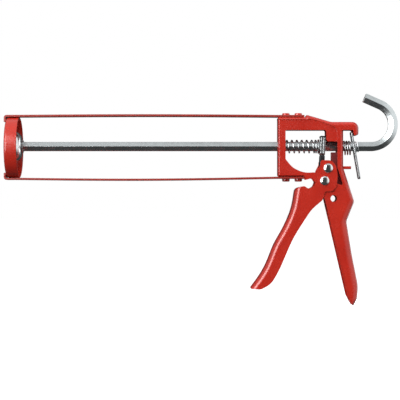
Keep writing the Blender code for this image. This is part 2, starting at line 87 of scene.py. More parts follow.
MM = 0.001
GAP = 0.3
SHARP_ANGLE = math.radians(30.0)
NEARLY_STRAIGHT = math.radians(2.0)
HOUSING_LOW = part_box("housing")[0]
COLLAR_LOW, COLLAR_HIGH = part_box("rod_collar")
ORIGIN = Vector((HOUSING_LOW.x, 0.0, (COLLAR_LOW.z + COLLAR_HIGH.z) / 2))

# Cartridge cradle
RING_RADIUS = 26.6
RING_HEIGHT = -0.9
RING_WALL = 1.3
RING_ROLL = 2.2
RING_FRONT = -237.7
RING_REAR = -226.6
NOZZLE_RADIUS = 16.0
STRAP_WIDTH = 15.0
STRAP_THICKNESS = 1.8
STRAP_FRONT = -239.8
STRAP_REAR = 23.4
STRAP_BOWS = {1: 0.6, -1: 1.2}
STRAP_SEAT = 0.05
STRAP_LIP = 4.4
STRAP_BEND = 2.4
STRAP_TIP = 0.4
STRAP_RIVETS = (7.6, 18.5)
STRAP_HEAD_RADIUS = 3.3
STRAP_HEAD_HEIGHTS = {1: 1.9, -1: 2.5}
STRAP_SHANK = 1.6
STRAP_TAIL = 1.5

# Pressed sheet housing, handle and trigger
SHEET = 1.5
HOUSING_HALF_WIDTH = 9.0
BRACKET_HALF_WIDTH = 9.9
HOUSING_TOP = 25.6
HOUSING_BOTTOM = -26.5
HOUSING_FACES = {1: HOUSING_TOP, -1: -HOUSING_BOTTOM}
HOUSING_FOLD = 4.4
INNER_OFFSET = 0.03
STEP_ROLL = 0.3
SPINE_X = 57.4
TRIGGER_HALF_WIDTH = 11.7
TRIGGER_SHEET = 1.4
TRIGGER_FOLD = 5.0
OPEN_EDGE = -0.4
CUTTER_REACH = 3.0
FOLD_STEPS = 9
ARC_STEP = 5.0

# Mechanism
ROD_FLATS = 8.0
ROD_CORNER = ROD_FLATS / math.sqrt(3)
ROD_PLAY = 0.4
ROD_FRONT = -234.6
ROD_EDGE = 0.35
# How long the rod's end chamfers are, and the share of its width left at the very end
ROD_FRONT_CHAMFER = (0.5, 0.90)
ROD_REAR_CHAMFER = (0.4, 0.92)
HOOK_START = 82.5
HOOK_RADIUS = 19.25
HOOK_TURN = 156.0
HOOK_TAIL = 15.0
PUSH_PLATE_RADIUS = 22.0
PUSH_SHEET = 1.3
DOME_RADIUS = 13.6
DOME_REAR = -224.6
DOME_DEPTH = 9.6
NUT_HEIGHT = 4.0
NUT_RADIUS = 6.8
COLLAR_SPAN = (0.1, 1.3)
COLLAR_RADIUS = 5.6
PIVOT = Vector((40.7, 0.0, -30.2))
DRIVE_PIN = Vector((43.8, 0.0, -19.2))
PIN_RADIUS = 2.2
SPACER_RADIUS = 3.6
ROLLER_RADIUS = 2.8
PIN_HEAD_RADIUS = 4.2
PIN_HEAD_HEIGHT = 2.3
PIN_SEAT = 0.05
DRIVE_CENTRE = Vector((39.7, 0.0, 0.0))
DRIVE_TILT = 2.4
PAWL_TOP = -8.0
PAWL_BOTTOM = -22.0
PAWL_THICKNESS = 4.0
PAWL_TAPER = 1.5
DRIVE_PLATE_THICKNESS = 1.9
DRIVE_PLATE_TOP = 8.9
DRIVE_PLAY = 0.75
CAP_MIDDLE = 8.35
CAP_THICKNESS = 4.9
CAP_HALF_HEIGHT = 0.85
WASHER_THICKNESS = 1.1
WASHER_RADIUS = 6.3
RELEASE_PIVOT = Vector((64.9, 0.0, 12.8))
RELEASE_TILT = 9.8
RELEASE_THICKNESS = 1.5
RELEASE_LENGTH = 42.0
RELEASE_PLAY = 1.1
CLIP_WIRE = 0.55
CLIP_FRONT = 1.5
CLIP_PITCH = 1.7
CLIP_HALF_WIDTH = 5.3
CLIP_TOP = 3.0
CLIP_SHOULDER = -0.2
CLIP_DEPTH = 4.8
PLATE_HALF_WIDTH = 7.0
SPRING_RADIUS = 5.45
SPRING_WIRE = 0.6
SPRING_START = 2.0
SPRING_END = 35.3
RELEASE_SPRING_RADIUS = SPRING_RADIUS + 0.35
RELEASE_SPRING_END = 65.0
RELEASE_SPRING_DROP = 1.2
# Live turns, and the closed turns at each end
SPRING_TURNS = (6.6, 1.3)
RELEASE_SPRING_TURNS = (2.5, 0.25)

# Corners of the housing's outline, clockwise from the top front: x, z, corner radius, and how
# far in the fold of the edge that leaves the corner reaches over the side plate, 0 for a plain edge.
HOUSING_CORNERS = (
    (0.0, HOUSING_TOP, 1.6, 2.6),
    (24.3, HOUSING_TOP, 0.3, 2.6),
    (25.4, 27.6, 0.8, 3.4),
    (46.8, 21.4, 9.0, 3.4),
    (70.8, 21.4, 6.0, 3.4),
    (70.8, 9.6, 3.6, 0.0),
    (66.5, 9.6, 0.6, 0.0),
    (65.8, 14.3, 1.2, 0.0),
    (SPINE_X, 14.3, 1.2, 3.0),
    (SPINE_X, -18.5, 9.0, 4.4),
    (67.1, -48.4, 5.0, 6.6),
    (60.2, -65.6, 8.0, 7.6),
    (64.8, -94.0, 40.0, 7.6),
    (70.4, -122.0, 30.0, 6.0),
    (69.7, -133.0, 8.0, 4.0),
    (65.8, -140.6, 1.2, 0.0),
    (60.9, -131.0, 2.0, 0.0),
    (41.1, -46.3, 3.0, 0.0),
    (33.0, -32.0, 3.0, 0.0),
    (30.5, -27.8, 2.0, 0.0),
    (24.6, -29.4, 0.6, 0.0),
    (23.6, HOUSING_BOTTOM, 0.5, 1.4),
    (0.0, HOUSING_BOTTOM, 1.6, 1.6),
)
WINDOW_CORNERS = (
    (6.8, 14.3, 1.2),
    (42.4, 14.3, 1.2),
    (42.4, 4.3, 2.5),
    (52.1, 4.3, 1.2),
    (52.1, -18.4, 8.0),
    (57.3, -34.6, 1.2),
    (49.0, -31.6, 3.0),
    (47.0, -24.8, 4.0),
    (35.0, -24.8, 2.0),
    (32.5, -22.8, 3.0),
    (23.0, -23.2, 26.0),
    (13.0, -18.9, 18.0),
    (6.8, -11.2, 2.5),
)
# Inside this line the side plates are the front box's alone. Outside it the handle's sheet lies
# over them, so they stand out a little more.
STEP_CORNERS = (
    (-6.0, 23.3, 0.5),
    (33.0, 23.3, 24.0),
    (51.6, 16.0, 6.0),
    (51.6, -26.0, 8.0),
    (44.0, -38.5, 6.0),
    (-6.0, -38.5, 0.5),
)
RIB_CORNERS = (
    (47.0, -5.1, 0.6),
    (55.4, -5.1, 0.6),
    (55.4, -18.8, 6.0),
    (61.0, -36.0, 1.0),
    (59.5, -41.0, 2.0),
    (52.0, -41.0, 4.0),
    (47.0, -30.0, 8.0),
)
RIB_HALF_WIDTH = 1.5
HANDLE_HOLE = (48.9, -45.7, 2.9)
STOP_TAB = ((56.3, -5.0, -19.8), (64.6, 5.0, -17.4))

TRIGGER_CORNERS = (
    (37.2, -12.3, 2.5, 0.0),
    (46.5, -12.3, 5.0, 0.0),
    (50.6, -17.0, 9.0, 0.0),
    (52.2, -26.0, 12.0, 0.0),
    (51.0, -35.5, 6.0, 0.0),
    (47.8, -39.4, 1.5, 0.0),
    (41.2, -39.6, 1.0, 0.0),
    (38.7, -47.3, 1.6, 0.0),
    (29.0, -55.5, 30.0, 0.0),
    (13.3, -80.0, 90.0, 0.0),
    (0.8, -109.0, 60.0, 0.0),
    (-6.0, -120.5, 20.0, 0.0),
    (-15.0, -125.2, 12.0, 0.0),
    (-24.2, -124.6, 0.6, 5.0),
    (-12.2, -108.2, 90.0, 5.0),
    (-3.3, -85.6, 50.0, 5.0),
    (4.4, -72.3, 60.0, 5.0),
    (12.3, -55.5, 70.0, 5.0),
    (15.2, -36.6, 4.0, 0.0),
    (23.0, -34.8, 1.6, 0.0),
    (27.0, -37.4, 3.0, 0.0),
    (31.4, -35.2, 4.0, 0.0),
    (33.8, -28.5, 9.0, 0.0),
    (34.2, -21.6, 5.0, 0.0),
    (37.0, -16.4, 4.0, 0.0),
)


# ---------------------------------------------------------------- finishes

class Nodes:
    """A node tree, and the few node patterns that the finishes and the world share."""

    def __init__(self, tree):
        self.tree = tree

    def add(self, kind, **settings):
        node = self.tree.nodes.new(kind)
        for key, value in settings.items():
            setattr(node, key, value)
        return node

    def feed(self, socket, value):
        if isinstance(value, bpy.types.NodeSocket):
            self.tree.links.new(value, socket)
        else:
            socket.default_value = value

    def spread(self, value, low, high, to_low, to_high):
        """Maps the value from low to high onto to_low to to_high, and no further."""
        node = self.add("ShaderNodeMapRange")
        for socket, number in zip(node.inputs[1:5], (low, high, to_low, to_high)):
            socket.default_value = number
        self.feed(node.inputs["Value"], value)
        return node.outputs["Result"]

    def maths(self, operation, a, b=None):
        node = self.add("ShaderNodeMath", operation=operation)
        self.feed(node.inputs[0], a)
        if b is not None:
            self.feed(node.inputs[1], b)
        return node.outputs["Value"]


class Finish(Nodes):
    """A procedural material, and the patterns that only the finishes use."""

    def __init__(self, name):
        self.material = bpy.data.materials.new(name)
        self.material.use_nodes = True
        super().__init__(self.material.node_tree)
        self.shader = self.tree.nodes["Principled BSDF"]
        self.place = self.add("ShaderNodeTexCoord").outputs["Object"]

    def fixed(self, **values):
        """Sets sockets that are the same all over the surface."""
        for key, value in values.items():
            self.shader.inputs[key.replace("_", " ")].default_value = value

    def stretched(self, vector, scale):
        mapping = self.add("ShaderNodeMapping")
        self.feed(mapping.inputs["Vector"], vector)
        mapping.inputs["Scale"].default_value = scale
        return mapping.outputs["Vector"]

    def noise(self, vector, scale, detail=3.0, roughness=0.55):
        node = self.add("ShaderNodeTexNoise")
        self.feed(node.inputs["Vector"], vector)
        node.inputs["Scale"].default_value = scale
        node.inputs["Detail"].default_value = detail
        node.inputs["Roughness"].default_value = roughness
        return node.outputs["Fac"]

    def mixed(self, share, first, second):
        node = self.add("ShaderNodeMix", data_type="RGBA")
        self.feed(node.inputs["Factor"], share)
        for socket, colour in ((node.inputs[6], first), (node.inputs[7], second)):
            self.feed(socket, (*colour, 1.0) if isinstance(colour, tuple) else colour)
        return node.outputs[2]

    def edges(self, radius, low, high):
        """1 along sharp outside and inside edges, fading to 0 within the radius."""
        soft = self.add("ShaderNodeBevel", samples=6)
        soft.inputs["Radius"].default_value = radius
        flat = self.add("ShaderNodeNewGeometry").outputs["Normal"]
        dot = self.add("ShaderNodeVectorMath", operation="DOT_PRODUCT")
        self.tree.links.new(soft.outputs["Normal"], dot.inputs[0])
        self.tree.links.new(flat, dot.inputs[1])
        return self.spread(dot.outputs["Value"], high, low, 0.0, 1.0)

    def bumps(self, layers):
        """Stacks bump layers, each (height, distance in metres, strength)."""
        normal = None
        for height, distance, strength in layers:
            node = self.add("ShaderNodeBump")
            node.inputs["Distance"].default_value = distance
            node.inputs["Strength"].default_value = strength
            self.feed(node.inputs["Height"], height)
            if normal is not None:
                self.feed(node.inputs["Normal"], normal)
            normal = node.outputs["Normal"]
        self.feed(self.shader.inputs["Normal"], normal)


def enamel(name, light, deep, thin, gloss):
    """Sprayed enamel on pressed sheet: orange peel, soft waves of the sheet, paint thinner at edges."""
    finish = Finish(name)
    cloud = finish.noise(finish.place, 38.0, 5.0, 0.6)
    speckle = finish.noise(finish.place, 900.0, 2.0)
    handled = finish.noise(finish.place, 90.0, 6.0, 0.7)
    peel = finish.noise(finish.place, 620.0, 2.0, 0.4)
    wave = finish.noise(finish.place, 75.0, 1.0, 0.3)
    base = finish.mixed(finish.spread(cloud, 0.32, 0.68, 0.0, 1.0), light, deep)
    base = finish.mixed(finish.spread(speckle, 0.62, 0.78, 0.0, 0.25), base, thin)
    rim = finish.edges(0.0007, 0.80, 0.995)
    worn = finish.maths("MULTIPLY", rim, finish.spread(handled, 0.42, 0.62, 0.15, 0.85))
    base = finish.mixed(worn, base, thin)
    finish.feed(finish.shader.inputs["Base Color"], base)
    rough = finish.spread(handled, 0.3, 0.7, gloss, gloss + 0.12)
    rough = finish.maths("ADD", rough, finish.maths("MULTIPLY", worn, 0.12))
    finish.feed(finish.shader.inputs["Roughness"], rough)
    finish.fixed(Coat_Weight=0.35, Coat_Roughness=0.07, Specular_IOR_Level=0.5)
    finish.bumps(((wave, 0.00022, 0.30), (peel, 0.00003, 0.45), (speckle, 0.00001, 0.4)))
    return finish.material


def steel(name, light, dark, rough, grain, flow=False, tarnish=0.35, depth=0.00004):
    """Bare or plated steel: drawn lines along the metal, plating clouds, and lighter edges.

    grain is how much the lines stretch along each axis. With flow, they follow the piece's own
    "flow" attribute: metres along it, then across it.
    """
    finish = Finish(name)
    place = finish.place
    if flow:
        place = finish.add("ShaderNodeAttribute", attribute_name="flow").outputs["Vector"]
    lines = finish.noise(finish.stretched(place, grain), 1.0, 4.0, 0.65)
    fine = finish.noise(finish.stretched(place, tuple(3.1 * g for g in grain)), 1.0, 2.0, 0.5)
    cloud = finish.noise(finish.place, 160.0, 5.0, 0.65)
    spots = finish.noise(finish.place, 1400.0, 2.0, 0.5)
    base = finish.mixed(finish.spread(lines, 0.35, 0.65, 0.0, 1.0), light, dark)
    dull = tuple(0.55 * c for c in dark)
    bright = tuple(min(1.0, 1.15 * c) for c in light)
    base = finish.mixed(finish.spread(cloud, 0.45, 0.75, 0.0, tarnish), base, dull)
    base = finish.mixed(finish.spread(spots, 0.66, 0.8, 0.0, 0.4), base, dull)
    base = finish.mixed(finish.edges(0.0004, 0.75, 0.995), base, bright)
    finish.feed(finish.shader.inputs["Base Color"], base)
    worn = finish.spread(cloud, 0.3, 0.7, rough, rough + 0.14)
    lined = finish.maths("MULTIPLY", finish.spread(fine, 0.3, 0.7, 0.0, 1.0), 0.08)
    finish.feed(finish.shader.inputs["Roughness"], finish.maths("ADD", worn, lined))
    finish.fixed(Metallic=1.0)
    finish.bumps(((lines, depth, 0.5), (fine, depth * 0.4, 0.5)))
    return finish.material


RED = enamel("red_enamel", (0.59, 0.027, 0.012), (0.50, 0.019, 0.009), (0.64, 0.078, 0.042), 0.20)
STRAP_RED = enamel("strap_enamel", (0.38, 0.030, 0.019), (0.33, 0.025, 0.016), (0.37, 0.045, 0.028), 0.26)
# Near-black red for the spine rib: painted shade, standing in for the shade deep inside the handle's
# channel.
PAINTED_SHADE_RED = enamel("rib_painted_shade_enamel", (0.20, 0.012, 0.012), (0.13, 0.008, 0.010), (0.26, 0.03, 0.02), 0.38)
ROD_ZINC = steel(
    "drawn_zinc", (0.72, 0.77, 0.78), (0.62, 0.67, 0.68), 0.15, (14.0, 900.0, 900.0), flow=True,
)
PLATE_ZINC = steel("plate_zinc", (0.66, 0.69, 0.70), (0.52, 0.55, 0.56), 0.24, (500.0, 500.0, 60.0))
DISH_ZINC = steel(
    "dish_zinc", (0.82, 0.84, 0.85), (0.68, 0.70, 0.71), 0.14, (90.0, 420.0, 420.0), tarnish=0.2,
)
CHROME = steel(
    "rivet_chrome", (0.86, 0.88, 0.88), (0.78, 0.80, 0.80), 0.05, (220.0, 220.0, 220.0),
    tarnish=0.15, depth=0.00001,
)
SPRING_STEEL = steel(
    "spring_wire", (0.72, 0.74, 0.75), (0.50, 0.52, 0.53), 0.08, (20.0, 900.0, 900.0), flow=True,
)
BLACKENED = steel("blackened_steel", (0.075, 0.078, 0.08), (0.035, 0.036, 0.04), 0.38, (420.0, 420.0, 80.0))


# ---------------------------------------------------------------- shapes

def to_object(name, bm):
    """Turns a bmesh in the gun's millimetres into an object in the row's frame."""
    bmesh.ops.remove_doubles(bm, verts=bm.verts, dist=1e-4)
    bmesh.ops.scale(bm, verts=bm.verts, vec=(MM, MM, MM))
    bmesh.ops.translate(bm, verts=bm.verts, vec=ORIGIN)
    bmesh.ops.recalc_face_normals(bm, faces=bm.faces)
    mesh = bpy.data.meshes.new(name)
    bm.to_mesh(mesh)
    bm.free()
    mesh.shade_smooth()
    mesh.set_sharp_from_angle(angle=SHARP_ANGLE)
    obj = bpy.data.objects.new(name, mesh)
    bpy.context.scene.collection.objects.link(obj)
    return obj


def carve(obj, tools):
    """Cuts and joins the tool shapes, each (bmesh or object, operation), and keeps only the result."""
    helpers = []
    for tool, operation in tools:
        helper = tool if isinstance(tool, bpy.types.Object) else to_object(obj.name + "_tool", tool)
        helpers.append(helper)
        modifier = obj.modifiers.new("carve", "BOOLEAN")
        modifier.operation = operation
        modifier.solver = "EXACT"
        modifier.object = helper
    graph = bpy.context.evaluated_depsgraph_get()
    result = bpy.data.meshes.new_from_object(obj.evaluated_get(graph))
    obj.modifiers.clear()
    obj.data = result
    for helper in helpers:
        bpy.data.objects.remove(helper)
    result.shade_smooth()
    result.set_sharp_from_angle(angle=SHARP_ANGLE)
    return obj


def keep(obj, material, body, slot, *nodes):
    """Gives a finished piece its material, its body, and the CAD nodes that it stands for."""
    obj.data.materials.clear()
    obj.data.materials.append(material)
    weighted = obj.modifiers.new("even_normals", "WEIGHTED_NORMAL")
    weighted.keep_sharp = True
    weighted.weight = 60
    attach(obj, body)
    if nodes:
        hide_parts(*nodes)


def line_crossing(point_a, along_a, point_b, along_b):
    """Where two lines in the XZ plane cross, or point_b if they are parallel."""
    cross = along_a.x * along_b.y - along_a.y * along_b.x
    if abs(cross) < 1e-6:
        return point_b
    gap = point_b - point_a
    return point_a + along_a * ((gap.x * along_b.y - gap.y * along_b.x) / cross)


def inset_corners(corners, insets):
    """The corners with each edge moved inwards by its inset. The outline runs clockwise."""
    points = [Vector(corner[:2]) for corner in corners]
    ways = [(points[(i + 1) % len(points)] - p).normalized() for i, p in enumerate(points)]
    moved = [p + Vector((w.y, -w.x)) * d for p, w, d in zip(points, ways, insets)]
    return [line_crossing(moved[i - 1], ways[i - 1], moved[i], ways[i]) for i in range(len(moved))]


def corner_turns(points):
    """How far the outline turns at each corner, in radians, positive to the left."""
    count = len(points)
    return [-(p - points[i - 1]).angle_signed(points[(i + 1) % count] - p) for i, p in enumerate(points)]


def rounded_outline(corners, insets=None, step_deg=ARC_STEP):
    """The outline's points in the XZ plane, with each corner turned into an arc."""
    count = len(corners)
    insets = insets or [0.0] * count
    turns = corner_turns([Vector(corner[:2]) for corner in corners])
    points = inset_corners(corners, insets)
    outline = []
    for i, (point, turn) in enumerate(zip(points, turns)):
        into = point - points[i - 1]
        away = points[(i + 1) % count] - point
        bulge = (insets[i] + insets[i - 1]) / 2.0 * (1.0 if turn > 0 else -1.0)
        radius = max(corners[i][2] + bulge, 0.15)
        if abs(turn) < NEARLY_STRAIGHT:
            outline.append(point)
            continue
        reach = min(radius * math.tan(abs(turn) / 2), 0.48 * into.length, 0.48 * away.length)
        steps = max(1, round(abs(math.degrees(turn)) / step_deg))
        start = point - into.normalized() * reach
        radius = reach / math.tan(abs(turn) / 2)
        side = Vector((-into.y, into.x)).normalized() * math.copysign(radius, turn)
        centre = start + side
        for k in range(steps + 1):
            outline.append(centre + Matrix.Rotation(turn * k / steps, 2) @ -side)
    return outline


def quarter_turn(steps):
    """Angles from 0 to a right angle in equal steps."""
    return [math.pi / 2 * k / steps for k in range(steps + 1)]


def loft(sections):
    """A closed body through matching loops of 3D points, with flat ends."""
    bm = bmesh.new()
    rings = [[bm.verts.new(point) for point in section] for section in sections]
    for low, high in zip(rings, rings[1:]):
        for i in range(len(low)):
            bm.faces.new((low[i - 1], low[i], high[i], high[i - 1]))
    bm.faces.new(rings[0])
    bm.faces.new(rings[-1])
    return bm


def extrude_outline(outline, low, high):
    return loft([[(p.x, y, p.y) for p in outline] for y in (low, high)])


def slab(corners, low, high, edge, place=None):
    """An extruded outline with its rims rounded by edge. place turns (p, q, height) into a point."""
    place = place or (lambda p, q, height: (p, height, q))
    arc = quarter_turn(3)
    levels = [(low + edge * (1 - math.sin(a)), edge * (1 - math.cos(a))) for a in reversed(arc)]
    levels += [(high - edge * (1 - math.sin(a)), edge * (1 - math.cos(a))) for a in arc]
    sections = []
    for height, inset in levels:
        outline = rounded_outline(corners, [inset] * len(corners))
        sections.append([place(p.x, p.y, height) for p in outline])
    return loft(sections)


def pressed_solid(corners, half_width, fold, sheet=0.0, open_edge=0.0):
    """A pressing's outside or inside: both side plates' outline, rolled over at the folds.

    sheet is how far in the folded edges start, and open_edge the same for the plain ones.
    """
    angles = quarter_turn(FOLD_STEPS)
    rise = [half_width - fold + fold * math.sin(a) for a in angles]
    sections = []
    for y, angle in zip([-v for v in reversed(rise)] + rise, angles[::-1] + angles):
        insets = []
        for corner in corners:
            roll = max(corner[3] - sheet, 0.2) * (1.0 - math.cos(angle))
            insets.append(sheet + roll if corner[3] else open_edge)
        sections.append([(p.x, y, p.y) for p in rounded_outline(corners, insets)])
    return loft(sections)


def turned(profile, steps, axis="X", centre=(0.0, 0.0, 0.0)):
    """A body of revolution. profile holds (place along the axis, radius) and may start and end at 0."""
    bm = bmesh.new()
    rings = []
    for along, radius in profile:
        if radius == 0.0:
            rings.append([bm.verts.new((along, 0.0, 0.0))] * steps)
            continue
        angles = [2 * math.pi * k / steps for k in range(steps)]
        rings.append([bm.verts.new((along, radius * math.cos(a), radius * math.sin(a))) for a in angles])
    hollow = profile[0][1] > 0.0
    for low, high in zip(rings, rings[1:] + rings[:1] if hollow else rings[1:]):
        for i in range(steps):
            corners = dict.fromkeys((low[i - 1], low[i], high[i], high[i - 1]))
            bm.faces.new(tuple(corners))
    if axis == "Y":
        bmesh.ops.rotate(bm, verts=bm.verts, matrix=Matrix.Rotation(math.pi / 2, 3, "Z"))
    if axis == "Z":
        bmesh.ops.rotate(bm, verts=bm.verts, matrix=Matrix.Rotation(-math.pi / 2, 3, "Y"))
    bmesh.ops.translate(bm, verts=bm.verts, vec=centre)
    return bm


def rounded_profile(points, radius, steps=4):
    """A profile for turned() with every corner between its straight lines rounded."""
    points = [Vector(p) for p in points]
    rounded = []
    for i, point in enumerate(points):
        into = points[i - 1] - point
        away = points[(i + 1) % len(points)] - point
        cut = min(radius, 0.45 * into.length, 0.45 * away.length)
        start, end = point + into.normalized() * cut, point + away.normalized() * cut
        for k in range(steps + 1):
            t = k / steps
            rounded.append(start * (1 - t) ** 2 + point * 2 * t * (1 - t) + end * t**2)
    return [(p.x, p.y) for p in rounded]


def rod_through(centre, radius, axis, steps, half_length):
    profile = ((-half_length, 0.0), (-half_length, radius), (half_length, radius), (half_length, 0.0))
    return turned(profile, steps, axis, centre)


def domed(height, radius, steps=8):
    """Profile of a domed head from its rim to its crown, as (height, radius)."""
    curve = [(height * math.sin(a), radius * math.cos(a)) for a in quarter_turn(steps)]
    return curve[:-1] + [(height, 0.0)]


# ---------------------------------------------------------------- cradle

def rolled_corner(along, radius, roll):
    """Profile of the ring's rounded front corner, from its wall in to its flange."""
    return [(along + roll * (1 - math.sin(a)), radius - roll * (1 - math.cos(a))) for a in quarter_turn(6)]


def make_ring():
    """Front cup: a short tube with a rolled front corner and a flange around the nozzle's hole."""
    inner = RING_RADIUS - RING_WALL
    flange = RING_FRONT + RING_WALL
    chamfer, edge, rim, rim_middle = 0.3, 0.2, 0.45, 0.13
    profile = [(RING_REAR - chamfer, inner)]
    profile += rolled_corner(flange, inner, RING_ROLL - RING_WALL)
    profile += [(flange, NOZZLE_RADIUS + edge), (flange - edge, NOZZLE_RADIUS)]
    profile += [(RING_FRONT + edge, NOZZLE_RADIUS), (RING_FRONT, NOZZLE_RADIUS + edge)]
    profile += reversed(rolled_corner(RING_FRONT, RING_RADIUS, RING_ROLL))
    profile += [(RING_REAR - rim, RING_RADIUS), (RING_REAR - rim_middle, RING_RADIUS - rim_middle)]
    profile += [(RING_REAR, RING_RADIUS - rim), (RING_REAR, inner + chamfer)]
    ring = to_object("front_ring_cup", turned(profile, 144, "X", (0.0, 0.0, RING_HEIGHT)))
    keep(ring, RED, "frame", "red_paint", "front_ring")


def strap_height(x, side):
    """How far out the strap's inner face is: it bows a little between the ring and the housing."""
    along = min(max((x - RING_REAR) / (0.0 - RING_REAR), 0.0), 1.0)
    at_ring = RING_RADIUS + RING_HEIGHT * side
    bow = STRAP_BOWS[side] * math.sin(math.pi * along)
    return at_ring + (HOUSING_FACES[side] - at_ring) * along + bow + STRAP_SEAT


def make_strap(word, side):
    """Flat bar along the ring and the housing, bent in before the ring, with dulled edges."""
    steps = 24
    stations = [RING_REAR * (1 - k / steps) for k in range(steps + 1)] + [STRAP_REAR]
    inner = [(x, strap_height(x, side), 0.0) for x in stations]
    outer = [(x, z + STRAP_THICKNESS, 0.0) for x, z, _ in reversed(inner)]
    bend = STRAP_FRONT + STRAP_THICKNESS
    low = inner[0][1]
    lip = low - STRAP_LIP
    corners = inner + outer + [
        (STRAP_FRONT, low + STRAP_THICKNESS, STRAP_BEND),
        (STRAP_FRONT, lip, STRAP_TIP),
        (bend, lip, STRAP_TIP),
        (bend, low, STRAP_BEND - STRAP_THICKNESS),
    ]
    corners = [(x, z * side, r) for x, z, r in corners]
    if side > 0:
        corners = list(reversed(corners))
    half = STRAP_WIDTH / 2
    strap = to_object(word + "_strap_bar", slab(corners, -half, half, 0.3))
    keep(strap, STRAP_RED, "frame", "red_paint", word + "_strap")


def make_strap_rivet(word, end, x, side):
    """Pan head over the strap and an upset tail inside the housing."""
    head = HOUSING_FACES[side] + STRAP_SEAT + STRAP_THICKNESS
    tail = HOUSING_FACES[side] - SHEET
    crown = head + STRAP_HEAD_HEIGHTS[side]
    profile = [
        (tail - STRAP_TAIL, 0.0),
        (tail - STRAP_TAIL, 1.7),
        (tail - 1.2, 2.3),
        (tail - 0.5, 2.6),
        (tail, 2.5),
        (tail, STRAP_SHANK),
        (head, STRAP_SHANK),
        (head, STRAP_HEAD_RADIUS + 0.1),
        (head + 0.3, STRAP_HEAD_RADIUS + 0.1),
        (crown - 0.55, STRAP_HEAD_RADIUS - 0.05),
        (crown - 0.2, STRAP_HEAD_RADIUS - 0.25),
        (crown - 0.05, STRAP_HEAD_RADIUS - 0.65),
        (crown, STRAP_HEAD_RADIUS - 1.3),
        (crown, 0.0),
    ]
    bm = turned([(a * side, r) for a, r in profile], 40, "Z", (x, 0.0, 0.0))
    rivet = to_object(f"{word}_{end}_rivet_head", bm)
    keep(rivet, RED, "frame", "red_paint", f"{word}_{end}_rivet")


# ---------------------------------------------------------------- housing and trigger

def make_housing():
    """Front box in one sheet, with the handle's wider sheet over it, and the stop tab."""
    box = pressed_solid(HOUSING_CORNERS, HOUSING_HALF_WIDTH, HOUSING_FOLD, INNER_OFFSET, INNER_OFFSET)
    shell = to_object("housing_shell", box)
    cover = pressed_solid(HOUSING_CORNERS, BRACKET_HALF_WIDTH, HOUSING_FOLD)
    bracket = carve(to_object("bracket_tool", cover), [(step_cutter(), "DIFFERENCE")])
    inner_width, inner_fold = HOUSING_HALF_WIDTH - SHEET, HOUSING_FOLD - SHEET
    inside = pressed_solid(HOUSING_CORNERS, inner_width, inner_fold, SHEET, OPEN_EDGE)
    through = BRACKET_HALF_WIDTH + CUTTER_REACH
    window = rounded_outline(WINDOW_CORNERS, step_deg=3.0)
    guide_middle, guide_reach = (30, 0, 0), 40.0
    x, z, radius = HANDLE_HOLE
    tools = [
        (bracket, "UNION"),
        (inside, "DIFFERENCE"),
        (extrude_outline(window, -through, through), "DIFFERENCE"),
        (rod_through(guide_middle, ROD_CORNER + ROD_PLAY, "X", 6, guide_reach), "DIFFERENCE"),
        (rod_through(PIVOT, PIN_RADIUS + GAP, "Y", 40, through), "DIFFERENCE"),
        (rod_through((x, 0, z), radius, "Y", 48, through), "DIFFERENCE"),
        (tab(), "UNION"),
    ]
    keep(carve(shell, tools), RED, "frame", "red_paint", "housing")


def step_cutter():
    """What the handle's sheet leaves open at the front box, its edge rounded over outwards."""
    height = BRACKET_HALF_WIDTH - HOUSING_HALF_WIDTH
    beyond = 2.0
    levels = [(HOUSING_HALF_WIDTH, 0.0)]
    for angle in quarter_turn(6)[1:]:
        levels.append((HOUSING_HALF_WIDTH + height * math.sin(angle), STEP_ROLL * (math.cos(angle) - 1)))
    levels.append((BRACKET_HALF_WIDTH + beyond, -STEP_ROLL))
    sections = []
    for y, inset in [(-y, inset) for y, inset in reversed(levels)] + levels:
        outline = rounded_outline(STEP_CORNERS, [inset] * len(STEP_CORNERS))
        sections.append([(p.x, y, p.y) for p in outline])
    return loft(sections)


def tab():
    """Stop tab behind the spine, with its rear corners rounded in plan."""
    low, high = Vector(STOP_TAB[0]), Vector(STOP_TAB[1])
    rounding = 1.6
    plan = (
        (low.x, low.y, 0.0),
        (low.x, high.y, 0.0),
        (high.x, high.y, rounding),
        (high.x, low.y, rounding),
    )
    return slab(plan, low.z, high.z, 0.3, lambda p, q, height: (p, q, height))


def make_rib():
    """Rib inside the spine, under the rod. Its near-black enamel is painted shade."""
    rib = to_object("spine_rib_web", slab(RIB_CORNERS, -RIB_HALF_WIDTH, RIB_HALF_WIDTH, 0.3))
    keep(rib, PAINTED_SHADE_RED, "frame", "inner_paint", "spine_rib")


def double_rivet(centre, reach):
    """A shank along Y with a domed head just outside each end of its reach."""
    skirt, edge = 0.5, 0.2
    dome = [(reach + skirt + h, r) for h, r in domed(PIN_HEAD_HEIGHT - skirt, PIN_HEAD_RADIUS, 12)]
    rim = [(reach, PIN_HEAD_RADIUS - edge), (reach + edge, PIN_HEAD_RADIUS)]
    half = [(reach, PIN_RADIUS)] + rim + dome
    profile = [(-a, r) for a, r in reversed(half)] + half
    return turned(profile, 64, "Y", centre)


def sleeve(half_length, radius):
    """Profile of a tube that runs loose on one of the rivets."""
    bore = PIN_RADIUS + GAP
    square = ((-half_length, bore), (half_length, bore), (half_length, radius), (-half_length, radius))
    return rounded_profile(square, 0.2)


